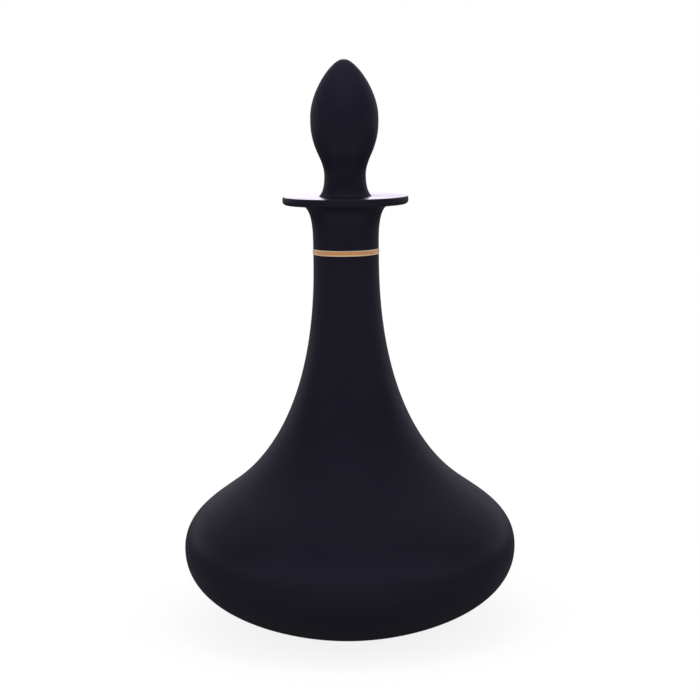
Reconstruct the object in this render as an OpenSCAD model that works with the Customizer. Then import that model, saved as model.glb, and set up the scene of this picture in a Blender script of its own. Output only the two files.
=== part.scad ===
// Genie bottle: a round, flat-bellied glass decanter with a long waisted neck, a thin disc lip,
// a metal band round the neck and a flame-shaped glass stopper that seats in the mouth.
// The origin is at the middle of the base, on the table. Z is the axis of every turned piece.

/* [Belly] */
// Widest diameter of the belly
belly_d = 195; // [184:0.2:204]
// Height of the widest line above the table
belly_z = 46.5; // [42:0.5:50]
// Outer diameter of the flat ring that the bottle stands on
foot_d = 86.6; // [76:0.2:92]
// Width of that flat ring
foot_w = 6.3; // [4:0.1:8]
// Height of the hollow under the base, at its middle
punt_h = 6; // [3:0.5:10]

/* [Shoulder and neck] */
// Diameter where the shoulder turns from full to hollow
shoulder_d = 131.5; // [122:0.5:138]
// Height of that turning line
shoulder_z = 85.4; // [80:0.2:90]
// Steepness of the shoulder there, in degrees from the horizontal
shoulder_slope = 37.2; // [34:0.2:40]
// Diameter of the neck at its narrowest
neck_d = 38.1; // [36:0.1:40]
// Height at which the neck becomes straight
neck_z = 213.8; // [208:0.2:216]
// Length of the straight part of the neck
neck_l = 9.4; // [9:0.1:12]

/* [Lip] */
// Diameter of the disc lip
lip_d = 72.8; // [64:0.2:80]
// Thickness of the disc lip
lip_t = 4.6; // [4:0.1:6]
// Height of the lip's top face above the table
lip_z = 252; // [248:0.5:258]
// Diameter of the ground bore in the mouth
bore_d = 25; // [24.6:0.1:26]

/* [Glass] */
// Wall of the belly, shoulder and neck
wall = 3.6; // [3:0.1:4.5]
// Thickness of the base
base_t = 6; // [5:0.1:8]

/* [Neck band] */
// Height of the band's middle above the lower end of the straight neck
band_rise = 6.5; // [3:0.1:7]
// Height of the band
band_h = 3.3; // [2.4:0.1:4]
// Thickness of the band's strip
band_t = 0.9; // [0.6:0.05:1.2]
// How far the band stands proud of the neck
band_proud = 0.3; // [0.1:0.05:0.5]
// Gap of the butt seam at the back of the band
seam_gap = 0.4; // [0.2:0.1:1]

/* [Stopper] */
// Height of the stopper above the lip
stopper_h = 78.3; // [74:0.1:82]
// Widest diameter of the flame
flame_d = 39.2; // [36:0.1:42]
// Height of that widest line above the lip
flame_z = 45.4; // [43:0.1:48]
// Diameter of the waist
waist_d = 24; // [21:0.1:25]
// Height of the waist above the lip
waist_z = 12.2; // [11:0.1:13]
// Diameter of the foot that rests on the lip
stopper_foot_d = 30.2; // [29.5:0.1:32]
// Diameter of the plain shank in the mouth
shank_d = 19; // [17:0.1:19.4]
// Length of the shank below the lip, with its bead
shank_l = 34; // [30:0.5:36]

/* [Seal] */
// Number of sealing fins on the sleeve
fin_count = 5; // [3:1:6]
// Radial gap between the fins and the bore, and between the sleeve and the shank
running_gap = 0.05; // [0.02:0.01:0.09]

/* [Hidden] */
$fn = 144;

black_glass = [0.10, 0.10, 0.13];
gold = [0.72, 0.53, 0.30];
clear_plastic = [0.80, 0.80, 0.78];

// Radii
belly_r = belly_d / 2;
foot_r = foot_d / 2;
shoulder_r = shoulder_d / 2;
neck_r = neck_d / 2;
lip_r = lip_d / 2;
bore_r = bore_d / 2;
flame_r = flame_d / 2;
waist_r = waist_d / 2;
stopper_foot_r = stopper_foot_d / 2;
shank_r = shank_d / 2;

// Foot: a wide rounding lifts the flat ring into the belly's rising underside
foot_round_r = 6;
foot_rise = 17;
foot_end = [foot_r + foot_round_r * sin(foot_rise), foot_round_r * (1 - cos(foot_rise))];

// Lengths of the curve handles: how long each curve keeps the direction it has at its end
foot_pull = 32.6;
belly_pull_down = 23.1;
belly_pull_up = 19.8;
shoulder_pull_out = 16.8;
shoulder_pull_in = 38.7;
neck_pull = 60;
flare_pull_up = 7.9;
flare_pull_out = 8.1;
flare_r = 27;

// Lip: a close rounding on top and a fuller one below
lip_round_top = 1.1;
lip_round_low = 2.2;
mouth_round = 1;
lip_under_z = lip_z - lip_t;

// Inside of the neck: the wide throat draws in to the ground bore of the mouth
ground_l = 30;
ground_z = lip_z - ground_l;

// Stopper curves, measured from the lip's top face
turn_r = 15.4;
turn_z = 24.1;
turn_slope = 65.6;
foot_curve_pull = 1.2;
waist_pull_down = 9;
waist_pull_up = 4.15;
turn_pull_down = 4;
turn_pull_up = 11.2;
flame_pull_down = 4;
flame_pull_up = 14.6;
tip_pull = 7;
foot_edge_round = 0.2;
band_edge_round = 0.4;

// Shank: the sleeve sits between the foot's flat underside and a rounded bead
bead_r = shank_r + 1;
bead_h = 4;
bead_round = 1.5;
sleeve_gap = 0.2;
sleeve_top = lip_z - mouth_round - 0.6;
sleeve_low = lip_z - shank_l + bead_h + sleeve_gap;
sleeve_bore_r = shank_r + running_gap;
sleeve_r = (sleeve_bore_r + bore_r) / 2;
fin_r = bore_r - running_gap;
fin_root_h = 1.6;
fin_tip_h = 0.8;
fin_lift = 1.2;
fin_first = 1;
fin_pitch = (sleeve_top - sleeve_low - 2 * fin_first - fin_root_h) / (fin_count - 1);

// Curves are cubic, from four points: an end, its handle, the other end's handle, the other end
function curve_point(p, t) =
    pow(1 - t, 3) * p[0] + 3 * pow(1 - t, 2) * t * p[1] + 3 * (1 - t) * t * t * p[2] + pow(t, 3) * p[3];
function curve_way(p, t) =
    pow(1 - t, 2) * (p[1] - p[0]) + 2 * (1 - t) * t * (p[2] - p[1]) + t * t * (p[3] - p[2]);
function inward(v) = [-v[1], v[0]] / norm(v);
function curve(p, steps) = [for (i = [1:steps]) curve_point(p, i / steps)];
// The same curve moved inwards by a wall that goes from w0 to w1, from its far end back towards its start
function inner_curve(p, steps, w0, w1) = [
    for (i = [steps:-1:1])
    let (t = i / steps)
    curve_point(p, t) + (w0 + (w1 - w0) * t) * inward(curve_way(p, t))
];
function arc(centre, r, a0, a1, steps) = [
    for (i = [0:steps])
    let (a = a0 + (a1 - a0) * i / steps)
    centre + r * [cos(a), sin(a)]
];
function polar(length, angle) = length * [cos(angle), sin(angle)];
// Half a cosine wave from the axis out to r, h high at the axis and level at both ends
function bell(r, h, base, steps) = [
    for (i = [0:steps])
    [r * i / steps, base + h * (1 + cos(180 * i / steps)) / 2]
];
function reversed(list) = [for (i = [len(list) - 1:-1:0]) list[i]];

lower_belly = [
    foot_end,
    foot_end + polar(foot_pull, foot_rise),
    [belly_r, belly_z - belly_pull_down],
    [belly_r, belly_z]
];
upper_belly = [
    [belly_r, belly_z],
    [belly_r, belly_z + belly_pull_up],
    [shoulder_r, shoulder_z] + polar(shoulder_pull_out, -shoulder_slope),
    [shoulder_r, shoulder_z]
];
sweep = [
    [shoulder_r, shoulder_z],
    [shoulder_r, shoulder_z] + polar(shoulder_pull_in, 180 - shoulder_slope),
    [neck_r, neck_z - neck_pull],
    [neck_r, neck_z]
];
flare = [
    [neck_r, neck_z + neck_l],
    [neck_r, neck_z + neck_l + flare_pull_up],
    [flare_r - flare_pull_out, lip_under_z],
    [flare_r, lip_under_z]
];

// Seat of the band: a groove in the straight neck, as deep as the strip less what stands proud
band_z = neck_z + band_rise;
groove_r = neck_r - band_t + band_proud;
groove = [
    [neck_r, band_z - band_h / 2],
    [groove_r, band_z - band_h / 2],
    [groove_r, band_z + band_h / 2],
    [neck_r, band_z + band_h / 2]
];

outside = concat(
    bell(foot_r - foot_w, punt_h, 0, 10),
    arc([foot_r, foot_round_r], foot_round_r, -90, foot_rise - 90, 3),
    curve(lower_belly, 18),
    curve(upper_belly, 14),
    curve(sweep, 26),
    groove,
    [flare[0]],
    curve(flare, 14),
    arc([lip_r - lip_round_low, lip_under_z + lip_round_low], lip_round_low, -90, 0, 5),
    arc([lip_r - lip_round_top, lip_z - lip_round_top], lip_round_top, 0, 90, 4)
);
inside = concat(
    arc([bore_r + mouth_round, lip_z - mouth_round], mouth_round, 90, 180, 3),
    [[bore_r, ground_z]],
    inner_curve(sweep, 20, wall, wall),
    inner_curve(upper_belly, 10, wall, wall),
    inner_curve(lower_belly, 12, base_t, wall),
    reversed(bell(foot_r, punt_h, base_t, 8))
);

// Glass vessel, blown in one piece
module bottle() {
    color(black_glass)
    rotate_extrude()
    polygon(concat(outside, inside));
}

// Thin metal strip in its groove, bent round the neck and closed by a butt seam at the back
module neck_band() {
    outer_r = groove_r + band_t;
    corner_r = outer_r - band_edge_round;
    corner_h = band_h / 2 - band_edge_round;
    strip = concat(
        [[groove_r, band_z - band_h / 2]],
        arc([corner_r, band_z - corner_h], band_edge_round, -90, 0, 4),
        arc([corner_r, band_z + corner_h], band_edge_round, 0, 90, 4),
        [[groove_r, band_z + band_h / 2]]
    );
    color(gold)
    difference() {
        rotate_extrude()
        polygon(strip);
        translate([-seam_gap / 2, 0, band_z - band_h])
        cube([seam_gap, neck_d, 2 * band_h]);
    }
}

// Curves of the stopper, from the foot up to the tip
foot_sweep = [
    [stopper_foot_r, foot_edge_round],
    [stopper_foot_r, foot_edge_round] + foot_curve_pull * [-0.7, 1],
    [waist_r, waist_z - waist_pull_down],
    [waist_r, waist_z]
];
waist_sweep = [
    [waist_r, waist_z],
    [waist_r, waist_z + waist_pull_up],
    [turn_r, turn_z] - polar(turn_pull_down, turn_slope),
    [turn_r, turn_z]
];
flame_low = [
    [turn_r, turn_z],
    [turn_r, turn_z] + polar(turn_pull_up, turn_slope),
    [flame_r, flame_z - flame_pull_down],
    [flame_r, flame_z]
];
flame_high = [
    [flame_r, flame_z],
    [flame_r, flame_z + flame_pull_up],
    [tip_pull, stopper_h],
    [0, stopper_h]
];

// Solid glass stopper: flame, waist, foot, and a plain shank that ends in a bead
module stopper() {
    finial = concat(
        [[0, -shank_l]],
        arc([bead_r - bead_round, bead_round - shank_l], bead_round, -90, 0, 4),
        arc([bead_r - bead_round, bead_h - bead_round - shank_l], bead_round, 0, 90, 4),
        [[shank_r, bead_h - shank_l], [shank_r, 0]],
        arc([stopper_foot_r - foot_edge_round, foot_edge_round], foot_edge_round, -90, 0, 3),
        curve(foot_sweep, 10),
        curve(waist_sweep, 8),
        curve(flame_low, 12),
        curve(flame_high, 24)
    );
    color(black_glass)
    translate([0, 0, lip_z])
    rotate_extrude()
    polygon(finial);
}

// Soft sleeve on the shank: its upturned fins seal in the ground bore
module stopper_seal() {
    fins = [
        for (i = [0:fin_count - 1])
        let (z = sleeve_low + fin_first + i * fin_pitch)
        each [
            [sleeve_r, z],
            [fin_r, z + fin_lift],
            [fin_r, z + fin_lift + fin_tip_h],
            [sleeve_r, z + fin_root_h]
        ]
    ];
    color(clear_plastic)
    rotate_extrude()
    polygon(concat(
        [[sleeve_bore_r, sleeve_low], [sleeve_r, sleeve_low]],
        fins,
        [[sleeve_r, sleeve_top], [sleeve_bore_r, sleeve_top]]
    ));
}

bottle();
neck_band();
stopper();
stopper_seal();
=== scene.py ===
import math

import bmesh
import bpy
from mathutils import Matrix, Vector
from mathutils.geometry import interpolate_bezier


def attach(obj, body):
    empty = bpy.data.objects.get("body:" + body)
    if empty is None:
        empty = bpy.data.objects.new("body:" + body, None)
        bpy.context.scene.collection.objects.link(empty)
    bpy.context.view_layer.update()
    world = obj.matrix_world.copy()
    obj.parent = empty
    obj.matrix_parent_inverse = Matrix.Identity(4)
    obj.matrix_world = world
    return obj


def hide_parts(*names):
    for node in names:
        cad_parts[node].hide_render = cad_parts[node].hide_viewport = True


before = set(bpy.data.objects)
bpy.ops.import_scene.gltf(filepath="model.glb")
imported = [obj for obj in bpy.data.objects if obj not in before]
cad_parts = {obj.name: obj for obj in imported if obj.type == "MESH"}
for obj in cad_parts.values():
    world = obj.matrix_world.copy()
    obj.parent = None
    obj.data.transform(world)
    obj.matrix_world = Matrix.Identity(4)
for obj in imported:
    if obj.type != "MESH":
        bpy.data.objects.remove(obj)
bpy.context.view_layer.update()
mm = 0.001
print("frame loaded:", ", ".join(sorted(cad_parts)))


# outlines: every turned piece is drawn as points (radius, height) in mm, then spun round Z

def curveTo(outline, handleOut, handleIn, end, steps):
    # goes on from the last point along a cubic curve
    start = Vector((*outline[-1], 0))
    points = interpolate_bezier(start, Vector((*handleOut, 0)), Vector((*handleIn, 0)), Vector((*end, 0)), steps + 1)
    outline += [(p.x, p.y) for p in points[1:]]


def roundTo(outline, centre, radius, fromAngle, toAngle, steps):
    for i in range(steps + 1):
        angle = math.radians(fromAngle + (toAngle - fromAngle) * i / steps)
        outline.append((centre[0] + radius * math.cos(angle), centre[1] + radius * math.sin(angle)))


def polar(length, angle):
    return length * math.cos(math.radians(angle)), length * math.sin(math.radians(angle))


def plus(a, b):
    return a[0] + b[0], a[1] + b[1]


def lathe(name, outline, steps, closed=False, sweep=2 * math.pi, startAngle=0.0, smoothAngle=34):
    bm = bmesh.new()
    ring = [bm.verts.new((r * mm, 0, z * mm)) for r, z in outline]
    pairs = list(zip(ring, ring[1:]))
    if closed:
        pairs.append((ring[-1], ring[0]))
    edges = [bm.edges.new(pair) for pair in pairs]
    bmesh.ops.rotate(bm, verts=ring, cent=(0, 0, 0), matrix=Matrix.Rotation(startAngle, 3, "Z"))
    full = sweep > 6.28
    bmesh.ops.spin(bm, geom=ring + edges, cent=(0, 0, 0), axis=(0, 0, 1), angle=sweep, steps=steps, use_merge=full)
    if not full:
        loose = [e for e in bm.edges if e.is_boundary]
        bmesh.ops.edgeloop_fill(bm, edges=loose)  # the two cut ends
    bmesh.ops.remove_doubles(bm, verts=bm.verts, dist=1e-6)
    bmesh.ops.recalc_face_normals(bm, faces=bm.faces)
    mesh = bpy.data.meshes.new(name)
    bm.to_mesh(mesh)
    bm.free()
    for face in mesh.polygons:
        face.use_smooth = True
    mesh.set_sharp_from_angle(angle=math.radians(smoothAngle))
    piece = bpy.data.objects.new(name, mesh)
    bpy.context.scene.collection.objects.link(piece)
    return piece


# the vessel

vessel = {
    "footRadius": 43.3,
    "footWidth": 6.3,
    "footRounding": 6.0,
    "footRise": 17.0,        # degrees
    "puntHeight": 6.0,
    "bellyRadius": 97.5,
    "bellyHeight": 46.5,
    "shoulderRadius": 65.75,
    "shoulderHeight": 85.4,
    "shoulderSlope": 37.2,   # degrees
    "neckRadius": 19.05,
    "neckStart": 213.8,
    "neckLength": 9.4,
    "flareRadius": 27.0,
    "lipRadius": 36.4,
    "lipThickness": 4.6,
    "lipTop": 252.0,
    "lipRoundTop": 1.1,
    "lipRoundLow": 2.2,
    "boreRadius": 12.5,
    "boreLength": 30.0,
    "mouthRounding": 1.0,
    "wall": 3.6,
    "baseThickness": 6.0,
    "turns": 192,
}
# how long each curve keeps the direction that it has at its end
vesselPulls = {
    "foot": 32.6,
    "bellyDown": 23.1,
    "bellyUp": 19.8,
    "shoulderOut": 16.8,
    "shoulderIn": 38.7,
    "neck": 60.0,
    "flareUp": 7.9,
    "flareOut": 8.1,
}
band = {
    "rise": 6.5,             # above the start of the straight neck
    "height": 3.3,
    "thickness": 0.9,
    "proud": 0.3,
    "edgeRounding": 0.4,
    "crown": 0.12,
    "seamGap": 0.4,
    "turns": 160,
}
band["middle"] = vessel["neckStart"] + band["rise"]
band["innerRadius"] = vessel["neckRadius"] + band["proud"] - band["thickness"]


def bellWave(radius, height, base, steps):
    # half a cosine wave from the axis out to radius
    return [(radius * i / steps, base + height * (1 + math.cos(math.pi * i / steps)) / 2) for i in range(steps + 1)]


def vesselOutside():
    v, pull = vessel, vesselPulls
    outline = bellWave(v["footRadius"] - v["footWidth"], v["puntHeight"], 0, 24)
    roundTo(outline, (v["footRadius"], v["footRounding"]), v["footRounding"], -90, v["footRise"] - 90, 5)
    foot = outline[-1]
    belly = (v["bellyRadius"], v["bellyHeight"])
    shoulder = (v["shoulderRadius"], v["shoulderHeight"])
    curveTo(outline, plus(foot, polar(pull["foot"], v["footRise"])), plus(belly, (0, -pull["bellyDown"])), belly, 44)
    curveTo(outline, plus(belly, (0, pull["bellyUp"])), plus(shoulder, polar(pull["shoulderOut"], -v["shoulderSlope"])),
            shoulder, 32)
    neck = (v["neckRadius"], v["neckStart"])
    curveTo(outline, plus(shoulder, polar(pull["shoulderIn"], 180 - v["shoulderSlope"])), plus(neck, (0, -pull["neck"])),
            neck, 64)
    low, high = band["middle"] - band["height"] / 2, band["middle"] + band["height"] / 2
    outline += [(v["neckRadius"], low), (band["innerRadius"], low), (band["innerRadius"], high), (v["neckRadius"], high)]
    flare = (v["neckRadius"], v["neckStart"] + v["neckLength"])
    under = (v["flareRadius"], v["lipTop"] - v["lipThickness"])
    outline.append(flare)
    curveTo(outline, plus(flare, (0, pull["flareUp"])), plus(under, (-pull["flareOut"], 0)), under, 24)
    top, r = v["lipTop"], v["lipRoundLow"]
    roundTo(outline, (v["lipRadius"] - r, under[1] + r), r, -90, 0, 9)
    r = v["lipRoundTop"]
    roundTo(outline, (v["lipRadius"] - r, top - r), r, 0, 90, 8)
    r = v["mouthRounding"]
    roundTo(outline, (v["boreRadius"] + r, top - r), r, 90, 180, 6)
    return outline


def vesselInside(outside):
    # the outside from the foot to the neck, moved in by the wall, from the throat down to the middle of the base
    v = vessel
    first = next(i for i, p in enumerate(outside) if p[0] > v["footRadius"] + 0.1)
    last = next(i for i, p in enumerate(outside) if p[1] >= v["neckStart"] - 1e-6)
    belly = next(i for i, p in enumerate(outside) if p[1] >= v["bellyHeight"] - 1e-6)
    inside = []
    for i in range(last, first, -1):
        before, here, after = outside[i - 1], outside[i], outside[i + 1]
        along = Vector((after[0] - before[0], after[1] - before[1])).normalized()
        if i == last:
            along = Vector((0, 1))
        share = min(1, max(0, (i - first) / (belly - first)))
        depth = v["baseThickness"] + (v["wall"] - v["baseThickness"]) * share
        inside.append((here[0] - depth * along.y, here[1] + depth * along.x))
    throat = [(v["boreRadius"], v["lipTop"] - v["boreLength"])]
    floor = bellWave(v["footRadius"] - 1, v["puntHeight"], v["baseThickness"], 16)
    return throat + inside + floor[::-1]


def makeVessel():
    outside = vesselOutside()
    return lathe("bottle_glass", outside + vesselInside(outside), vessel["turns"])


def makeBand():
    b = band
    inner, outer = b["innerRadius"], b["innerRadius"] + b["thickness"]
    low, high = b["middle"] - b["height"] / 2, b["middle"] + b["height"] / 2
    r = b["edgeRounding"]
    outline = [(inner, low)]
    roundTo(outline, (outer - b["crown"] - r, low + r), r, -90, -12, 6)
    face = outline[-1]
    top = (face[0], low + high - face[1])
    bulge = b["crown"] * 4 / 3
    curveTo(outline, plus(face, (bulge, b["height"] / 4)), plus(top, (bulge, -b["height"] / 4)), top, 8)
    roundTo(outline, (outer - b["crown"] - r, high - r), r, 12, 90, 6)
    outline.append((inner, high))
    gapAngle = b["seamGap"] / outer
    return lathe("band_strip", outline, b["turns"], closed=True, sweep=2 * math.pi - gapAngle,
                 startAngle=math.pi / 2 + gapAngle / 2)


# the stopper and its seal, heights from the lip's top face

stopper = {
    "height": 78.3,
    "flameRadius": 19.6,
    "flameHeight": 45.4,
    "turnRadius": 15.4,
    "turnHeight": 24.1,
    "turnSlope": 65.6,       # degrees
    "waistRadius": 12.0,
    "waistHeight": 12.2,
    "footRadius": 15.1,
    "footRounding": 0.2,
    "shankRadius": 9.5,
    "shankLength": 34.0,
    "beadRadius": 10.5,
    "beadHeight": 4.0,
    "beadRounding": 1.5,
    "turns": 128,
}
stopperPulls = {
    "foot": 1.2,
    "waistDown": 9.0,
    "waistUp": 4.15,
    "turnDown": 4.0,
    "turnUp": 11.2,
    "flameDown": 4.0,
    "flameUp": 14.6,
    "tip": 7.0,
}
seal = {
    "fins": 5,
    "runningGap": 0.05,
    "rootHeight": 1.6,
    "tipHeight": 0.8,
    "lift": 1.2,
    "firstFin": 1.0,
    "topDrop": 1.6,          # from the lip's top face to the sleeve's top
    "endGap": 0.2,
    "edgeRounding": 0.15,
    "turns": 96,
}


def makeStopper():
    s, pull = stopper, stopperPulls
    outline = [(0, -s["shankLength"])]
    r, edge = s["beadRounding"], s["beadRadius"] - s["beadRounding"]
    roundTo(outline, (edge, r - s["shankLength"]), r, -90, 0, 6)
    roundTo(outline, (edge, s["beadHeight"] - r - s["shankLength"]), r, 0, 90, 6)
    outline += [(s["shankRadius"], s["beadHeight"] - s["shankLength"]), (s["shankRadius"], 0)]
    r = s["footRounding"]
    roundTo(outline, (s["footRadius"] - r, r), r, -90, 0, 5)
    foot = outline[-1]
    waist = (s["waistRadius"], s["waistHeight"])
    turn = (s["turnRadius"], s["turnHeight"])
    flame = (s["flameRadius"], s["flameHeight"])
    tip = (0, s["height"])
    curveTo(outline, plus(foot, (-0.7 * pull["foot"], pull["foot"])), plus(waist, (0, -pull["waistDown"])), waist, 20)
    curveTo(outline, plus(waist, (0, pull["waistUp"])), plus(turn, polar(-pull["turnDown"], s["turnSlope"])), turn, 16)
    curveTo(outline, plus(turn, polar(pull["turnUp"], s["turnSlope"])), plus(flame, (0, -pull["flameDown"])), flame, 24)
    curveTo(outline, plus(flame, (0, pull["flameUp"])), plus(tip, (pull["tip"], 0)), tip, 48)
    raised = [(x, z + vessel["lipTop"]) for x, z in outline]
    return lathe("stopper_glass", raised, stopper["turns"])


def makeSeal():
    s = seal
    low = vessel["lipTop"] - stopper["shankLength"] + stopper["beadHeight"] + s["endGap"]
    high = vessel["lipTop"] - s["topDrop"]
    inner = stopper["shankRadius"] + s["runningGap"]
    sleeve = (inner + vessel["boreRadius"]) / 2
    finTip = vessel["boreRadius"] - s["runningGap"]
    pitch = (high - low - 2 * s["firstFin"] - s["rootHeight"]) / (s["fins"] - 1)
    r = s["edgeRounding"]
    outline = [(inner, low)]
    roundTo(outline, (sleeve - r, low + r), r, -90, 0, 3)
    for i in range(s["fins"]):
        z = low + s["firstFin"] + i * pitch
        outline.append((sleeve, z))
        roundTo(outline, (finTip - r, z + s["lift"] + r), r, -60, 0, 3)
        roundTo(outline, (finTip - r, z + s["lift"] + s["tipHeight"] - r), r, 0, 100, 4)
        outline.append((sleeve, z + s["rootHeight"]))
    roundTo(outline, (sleeve - r, high - r), r, 0, 90, 3)
    outline.append((inner, high))
    return lathe("seal_sleeve", outline, s["turns"], closed=True)


# finishes

def newMaterial(name):
    material = bpy.data.materials.new(name)
    material.use_nodes = True
    return material, material.node_tree.nodes, material.node_tree.links, material.node_tree.nodes["Principled BSDF"]


def node(nodes, kind, **values):
    made = nodes.new(kind)
    for key, value in values.items():
        if hasattr(made, key):
            setattr(made, key, value)
        else:
            made.inputs[key.replace("_", " ")].default_value = value
    return made


def objectPoints(nodes, links, location=(0, 0, 0), scale=(1, 1, 1)):
    where = node(nodes, "ShaderNodeTexCoord")
    mapping = node(nodes, "ShaderNodeMapping", Location=location, Scale=scale)
    links.new(where.outputs["Object"], mapping.inputs["Vector"])
    return mapping.outputs["Vector"]


def texture(nodes, links, points, kind, **values):
    made = node(nodes, kind, **values)
    links.new(points, made.inputs["Vector"])
    return made


def ramp(nodes, links, source, fromRange, toRange):
    made = node(nodes, "ShaderNodeMapRange", interpolation_type="SMOOTHSTEP")
    made.inputs["From Min"].default_value, made.inputs["From Max"].default_value = fromRange
    made.inputs["To Min"].default_value, made.inputs["To Max"].default_value = toRange
    links.new(source, made.inputs["Value"])
    return made.outputs["Result"]


def mathNode(nodes, links, operation, first, second):
    made = node(nodes, "ShaderNodeMath", operation=operation)
    for socket, value in zip(made.inputs, (first, second)):
        if isinstance(value, float):
            socket.default_value = value
        else:
            links.new(value, socket)
    return made.outputs[0]


def separate(nodes, links, vector):
    parts = node(nodes, "ShaderNodeSeparateXYZ")
    links.new(vector, parts.inputs[0])
    return parts.outputs


def mixColours(nodes, links, share, first, second):
    made = node(nodes, "ShaderNodeMix", data_type="RGBA")
    links.new(share, made.inputs[0])
    for socket, value in zip([s for s in made.inputs if s.type == "RGBA"], (first, second)):
        if isinstance(value, tuple):
            socket.default_value = value
        else:
            links.new(value, socket)
    return made.outputs[2]


def bumpFrom(nodes, links, height, shader, strength, distance):
    bump = node(nodes, "ShaderNodeBump", Strength=strength, Distance=distance)
    links.new(height, bump.inputs["Height"])
    links.new(bump.outputs["Normal"], shader.inputs["Normal"])


lacquer = {
    "colour": (0.0096, 0.0093, 0.0172, 1),
    "paleColour": (0.0108, 0.0105, 0.0190, 1),
    "dustColour": (0.060, 0.060, 0.070, 1),
    "roughness": (0.28, 0.34),
    "specular": 0.17,
    "specularTint": (0.86, 0.83, 1.0, 1),
    "grainScale": 2600.0,
    "grainDepth": 0.000004,
    "cloudScale": 34.0,
    "dustScale": 95.0,       # cells a metre
    "dustShare": 0.10,       # share of the cells that hold a speck
    "dustRadius": (0.022, 0.052),  # of a cell, where a speck is full and where it ends
}


def lacquerMaterial(name, shift):
    material, nodes, links, shader = newMaterial(name)
    points = objectPoints(nodes, links, location=(shift, 0, 0))
    cloud = texture(nodes, links, points, "ShaderNodeTexNoise", Scale=lacquer["cloudScale"], Detail=3.0)
    grain = texture(nodes, links, points, "ShaderNodeTexNoise", Scale=lacquer["grainScale"], Detail=2.0)
    dust = texture(nodes, links, points, "ShaderNodeTexVoronoi", Scale=lacquer["dustScale"])
    # specks of dust: near the middle of a few of the cells
    near = ramp(nodes, links, dust.outputs["Distance"], lacquer["dustRadius"], (1.0, 0.0))
    pick = node(nodes, "ShaderNodeSeparateColor")
    links.new(dust.outputs["Color"], pick.inputs["Color"])
    chosen = mathNode(nodes, links, "LESS_THAN", pick.outputs["Red"], lacquer["dustShare"])
    speck = mathNode(nodes, links, "MULTIPLY", near, chosen)
    tone = mixColours(nodes, links, cloud.outputs["Fac"], lacquer["colour"], lacquer["paleColour"])
    links.new(mixColours(nodes, links, speck, tone, lacquer["dustColour"]), shader.inputs["Base Color"])
    links.new(ramp(nodes, links, cloud.outputs["Fac"], (0.3, 0.7), lacquer["roughness"]), shader.inputs["Roughness"])
    bumpFrom(nodes, links, grain.outputs["Fac"], shader, 0.5, lacquer["grainDepth"])
    shader.inputs["Specular IOR Level"].default_value = lacquer["specular"]
    shader.inputs["Specular Tint"].default_value = lacquer["specularTint"]
    return material


gold = {
    "colour": (0.78, 0.34, 0.095, 1),
    "wornColour": (0.82, 0.405, 0.15, 1),
    "edgeHighlightColour": (1.0, 0.74, 0.47, 1),  # painted highlight: the strip's edges coloured pale where they catch the light
    "edgeStart": 0.0007,     # from the strip's middle line
    "edgeFull": 0.0012,
    "roughness": (0.28, 0.42),
    "metallic": 0.35,
    "sheen": 1.0,           # pale at the turned-away ends
    "sheenTint": (1.0, 0.80, 0.78, 1),
    "brushScale": 3600.0,
}


def goldMaterial():
    material, nodes, links, shader = newMaterial("rosy_gold")
    points = objectPoints(nodes, links, scale=(0.06, 0.06, 1))  # rolled along the strip
    brush = texture(nodes, links, points, "ShaderNodeTexNoise", Scale=gold["brushScale"], Detail=3.0)
    tone = mixColours(nodes, links, brush.outputs["Fac"], gold["colour"], gold["wornColour"])
    height = separate(nodes, links, objectPoints(nodes, links, location=(0, 0, -band["middle"] * mm)))["Z"]
    fromMiddle = mathNode(nodes, links, "ABSOLUTE", height, 0.0)
    # painted highlight: paler colour towards both edges of the strip
    paintedEdgeHighlight = ramp(nodes, links, fromMiddle, (gold["edgeStart"], gold["edgeFull"]), (0.0, 1.0))
    links.new(mixColours(nodes, links, paintedEdgeHighlight, tone, gold["edgeHighlightColour"]), shader.inputs["Base Color"])
    links.new(ramp(nodes, links, brush.outputs["Fac"], (0.3, 0.7), gold["roughness"]), shader.inputs["Roughness"])
    shader.inputs["Metallic"].default_value = gold["metallic"]
    shader.inputs["Sheen Weight"].default_value = gold["sheen"]
    shader.inputs["Sheen Tint"].default_value = gold["sheenTint"]
    return material


softPlastic = {
    "colour": (0.60, 0.60, 0.57, 1),
    "shadeColour": (0.52, 0.52, 0.50, 1),
    "roughness": 0.46,
    "depth": 0.25,           # how much light goes in
    "cloudScale": 120.0,
}


def plasticMaterial():
    material, nodes, links, shader = newMaterial("soft_plastic")
    points = objectPoints(nodes, links)
    cloud = texture(nodes, links, points, "ShaderNodeTexNoise", Scale=softPlastic["cloudScale"], Detail=3.0)
    tone = mixColours(nodes, links, cloud.outputs["Fac"], softPlastic["colour"], softPlastic["shadeColour"])
    links.new(tone, shader.inputs["Base Color"])
    bumpFrom(nodes, links, cloud.outputs["Fac"], shader, 0.3, 0.00005)
    shader.inputs["Roughness"].default_value = softPlastic["roughness"]
    shader.inputs["Subsurface Weight"].default_value = softPlastic["depth"]
    shader.inputs["Subsurface Radius"].default_value = (0.002, 0.002, 0.0015)
    return material


def finish(piece, material, body, cadNode):
    piece.data.materials.append(material)
    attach(piece, body)
    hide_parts(cadNode)


finish(makeVessel(), lacquerMaterial("black_lacquer", 0.0), "vessel", "bottle")
print("vessel turned")
finish(makeBand(), goldMaterial(), "vessel", "neck_band")
print("band bent round the neck")
finish(makeStopper(), lacquerMaterial("black_lacquer_stopper", 0.37), "closure", "stopper")
finish(makeSeal(), plasticMaterial(), "seal", "stopper_seal")
print("stopper and seal turned")


# the studio

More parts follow.
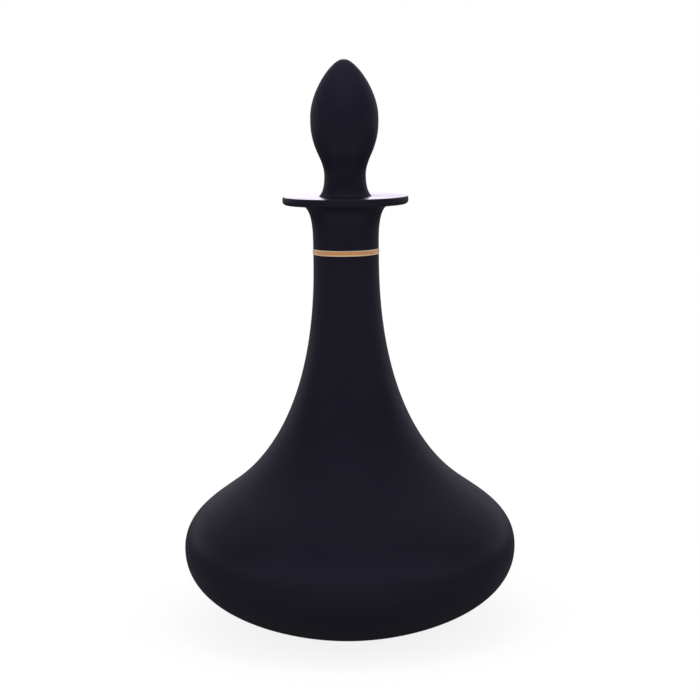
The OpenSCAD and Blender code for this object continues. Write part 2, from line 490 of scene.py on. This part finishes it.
studio = {
    "floorRadius": 0.9,
    "floorColour": 0.20,
    "floorGlow": 0.865,
    "bounceNear": 1.10,      # what lights the matt surfaces from below, near the bottle
    "bounceFar": 0.50,
    "dayLevel": 0.63,        # and from all round
    "backdropLevel": 3.4,    # the rest is what the lacquer mirrors: a lit backdrop straight behind,
    "stripLevel": 0.21,      # a pale strip at the horizon, brightest at the sides,
    "roomLevel": 0.085,       # a dim room
    "skyLevel": 0.29,        # under a soft sky that starts high up in front and low behind,
    "skyRise": 0.60,
    "skyDrop": 0.06,
    "tableLevel": 0.21,      # and a table with painted shade far in front
    "darkPlace": (0, -0.60, 0),
    "darkShare": 0.3,
    "poolLevel": 0.25,       # and has a painted pool of light in front of the foot
    "poolPlace": (0, -0.16, 0),
    "roomTint": (0.92, 0.85, 1.0, 1),
    "cardLevel": 0.52,       # a low pale card bent round the front, which only the lacquer sees
    "cardRadius": 0.22,
    "cardHeight": 0.30,
}
paperWhite = (1, 1, 1, 1)
lamps = [
    # name, where, size, watts
    ("lampLeft", (-1.5, -0.9, 1.5), 1.4, 3),
    ("lampRight", (1.6, -0.7, 1.4), 1.4, 2.4),
    ("lampTop", (0.0, -0.12, 0.50), 0.16, 0.30),
]
photo = {
    "size": 700,             # pixels a side
    "focalPixels": 1742.0,
    "sensor": 36.0,
    "place": (0.00154, -1.0076, 0.3109),
    "pitch": 8.394,          # degrees, looking down
    "roll": 0.745,
}


def mixShaders(nodes, links, share, first, second):
    made = node(nodes, "ShaderNodeMixShader")
    links.new(share, made.inputs[0])
    links.new(first, made.inputs[1])
    links.new(second, made.inputs[2])
    return made.outputs[0]


def distanceTo(nodes, links, points, place):
    made = node(nodes, "ShaderNodeVectorMath", operation="DISTANCE")
    links.new(points, made.inputs[0])
    made.inputs[1].default_value = place
    return made.outputs["Value"]


def makeFloor():
    bm = bmesh.new()
    bmesh.ops.create_circle(bm, cap_ends=True, segments=96, radius=studio["floorRadius"])
    mesh = bpy.data.meshes.new("floor")
    bm.to_mesh(mesh)
    bm.free()
    floor = bpy.data.objects.new("floor", mesh)
    bpy.context.scene.collection.objects.link(floor)
    material = bpy.data.materials.new("white_paper")
    material.use_nodes = True
    nodes, links = material.node_tree.nodes, material.node_tree.links
    nodes.clear()
    paper = node(nodes, "ShaderNodeBsdfDiffuse", Color=(studio["floorColour"],) * 3 + (1,))
    glow = node(nodes, "ShaderNodeEmission", Strength=studio["floorGlow"])
    lit = node(nodes, "ShaderNodeAddShader")
    links.new(paper.outputs[0], lit.inputs[0])
    links.new(glow.outputs[0], lit.inputs[1])
    points = objectPoints(nodes, links)
    distance = distanceTo(nodes, links, points, (0, 0, 0))
    # painted pool of light on the mirrored table
    pool = ramp(nodes, links, distanceTo(nodes, links, points, studio["poolPlace"]), (0.02, 0.18),
                (studio["poolLevel"], 0.0))
    behind = separate(nodes, links, points)["Y"]
    around = ramp(nodes, links, behind, (-0.25, 0.12), (studio["tableLevel"], studio["roomLevel"]))
    # painted shade on the mirrored table far in front
    dark = ramp(nodes, links, distanceTo(nodes, links, points, studio["darkPlace"]), (0.10, 0.42),
                (studio["darkShare"], 1.0))
    around = mathNode(nodes, links, "MULTIPLY", around, dark)
    shade = ramp(nodes, links, distance, (0.04, 0.16), (0.1, 1.0))  # painted shade: the mirrored table dark at the foot
    table = node(nodes, "ShaderNodeEmission", Color=studio["roomTint"])
    level = mathNode(nodes, links, "MULTIPLY", mathNode(nodes, links, "ADD", around, pool), shade)
    links.new(level, table.inputs["Strength"])
    bounce = node(nodes, "ShaderNodeEmission")
    spread = ramp(nodes, links, distance, (0.25, 0.60), (studio["bounceNear"], studio["bounceFar"]))
    # painted shade: less bounce light from the floor right under the bottle
    under = ramp(nodes, links, distance, (0.08, 0.26), (0.2, 1.0))
    links.new(mathNode(nodes, links, "MULTIPLY", spread, under), bounce.inputs["Strength"])
    ray = node(nodes, "ShaderNodeLightPath")
    seen = mathNode(nodes, links, "ADD", ray.outputs["Is Camera Ray"], ray.outputs["Is Transmission Ray"])
    plain = mixShaders(nodes, links, seen, bounce.outputs[0], lit.outputs[0])
    surface = mixShaders(nodes, links, ray.outputs["Is Glossy Ray"], plain, table.outputs[0])
    out = node(nodes, "ShaderNodeOutputMaterial")
    links.new(surface, out.inputs["Surface"])
    floor.data.materials.append(material)


def makeCard():
    bm = bmesh.new()
    ends = [bm.verts.new((studio["cardRadius"], 0, z)) for z in (0, studio["cardHeight"])]
    side = bm.edges.new(ends)
    bmesh.ops.spin(bm, geom=ends + [side], cent=(0, 0, 0), axis=(0, 0, 1), angle=-math.pi, steps=48)
    mesh = bpy.data.meshes.new("card")
    bm.to_mesh(mesh)
    bm.free()
    card = bpy.data.objects.new("card", mesh)
    bpy.context.scene.collection.objects.link(card)
    card.visible_camera = card.visible_diffuse = card.visible_transmission = card.visible_shadow = False
    material = bpy.data.materials.new("pale_card")
    material.use_nodes = True
    nodes, links = material.node_tree.nodes, material.node_tree.links
    nodes.clear()
    place = separate(nodes, links, objectPoints(nodes, links))
    level = ramp(nodes, links, place["Z"], (0.06, studio["cardHeight"]), (studio["cardLevel"], 0.0))
    for axis, fromRange, toRange in (("Z", (0.0, 0.06), (0.35, 1.0)), ("Y", (-0.20, -0.02), (1.0, 0.0))):
        level = mathNode(nodes, links, "MULTIPLY", level, ramp(nodes, links, place[axis], fromRange, toRange))
    glow = node(nodes, "ShaderNodeEmission", Color=studio["roomTint"])
    links.new(level, glow.inputs["Strength"])
    clear = node(nodes, "ShaderNodeBsdfTransparent")
    both = node(nodes, "ShaderNodeAddShader")
    links.new(glow.outputs[0], both.inputs[0])
    links.new(clear.outputs[0], both.inputs[1])
    out = node(nodes, "ShaderNodeOutputMaterial")
    links.new(both.outputs[0], out.inputs["Surface"])
    card.data.materials.append(material)


def makeWorld():
    world = bpy.data.worlds.new("white_studio")
    bpy.context.scene.world = world
    world.use_nodes = True
    nodes, links = world.node_tree.nodes, world.node_tree.links
    nodes.clear()
    where = node(nodes, "ShaderNodeTexCoord")
    parts = separate(nodes, links, where.outputs["Generated"])
    across = ramp(nodes, links, mathNode(nodes, links, "ABSOLUTE", parts["X"], 0.0), (0.03, 0.22), (1.0, 0.0))
    behind = ramp(nodes, links, parts["Y"], (0.55, 0.90), (0.0, studio["backdropLevel"]))
    above = ramp(nodes, links, parts["Z"], (-0.08, 0.10), (0.0, 1.0))
    backdrop = mathNode(nodes, links, "MULTIPLY", mathNode(nodes, links, "MULTIPLY", across, behind), above)
    # the strip fades above and below the horizon, behind and in front
    strip = ramp(nodes, links, mathNode(nodes, links, "ABSOLUTE", parts["Z"], 0.0), (0.08, 0.26),
                 (studio["stripLevel"], 0.0))
    for fromRange, toRange in (((0.60, 0.95), (1.0, 0.4)), ((-1.0, -0.1), (0.15, 1.0))):
        strip = mathNode(nodes, links, "MULTIPLY", strip, ramp(nodes, links, parts["Y"], fromRange, toRange))
    lowered = ramp(nodes, links, parts["Y"], (-0.10, 0.45), (-studio["skyRise"], studio["skyDrop"]))
    sky = ramp(nodes, links, mathNode(nodes, links, "ADD", parts["Z"], lowered), (-0.05, 0.35),
               (studio["roomLevel"], studio["skyLevel"]))
    level = mathNode(nodes, links, "ADD", backdrop, mathNode(nodes, links, "ADD", strip, sky))
    room = node(nodes, "ShaderNodeBackground", Color=studio["roomTint"])
    links.new(level, room.inputs["Strength"])
    day = node(nodes, "ShaderNodeBackground", Color=paperWhite, Strength=studio["dayLevel"])
    white = node(nodes, "ShaderNodeBackground", Color=paperWhite, Strength=1.0)
    ray = node(nodes, "ShaderNodeLightPath")
    mirrored = mixShaders(nodes, links, ray.outputs["Is Glossy Ray"], day.outputs[0], room.outputs[0])
    seen = mathNode(nodes, links, "ADD", ray.outputs["Is Camera Ray"], ray.outputs["Is Transmission Ray"])
    surface = mixShaders(nodes, links, seen, mirrored, white.outputs[0])
    out = node(nodes, "ShaderNodeOutputWorld")
    links.new(surface, out.inputs["Surface"])


def makeLamps():
    for name, place, size, watts in lamps:
        light = bpy.data.lights.new(name, "AREA")
        light.shape = "DISK"
        light.size = size
        light.energy = watts
        lamp = bpy.data.objects.new(name, light)
        lamp.location = place
        aim = Vector((0, 0, 0.20)) - Vector(place)
        lamp.rotation_euler = aim.to_track_quat("-Z", "Y").to_euler()
        lamp.visible_glossy = False  # the backdrop and the table are what the lacquer mirrors
        bpy.context.scene.collection.objects.link(lamp)


def makeCamera():
    data = bpy.data.cameras.new("camera")
    data.sensor_width = photo["sensor"]
    data.lens = photo["focalPixels"] * photo["sensor"] / photo["size"]
    camera = bpy.data.objects.new("camera", data)
    tilt = Matrix.Rotation(math.radians(90 - photo["pitch"]), 4, "X")
    roll = Matrix.Rotation(math.radians(-photo["roll"]), 4, "Z")
    camera.matrix_world = Matrix.Translation(photo["place"]) @ tilt @ roll
    bpy.context.scene.collection.objects.link(camera)
    bpy.context.scene.camera = camera


makeFloor()
makeCard()
makeWorld()
makeLamps()
makeCamera()
bpy.context.scene.view_settings.view_transform = "Standard"
print("studio set")
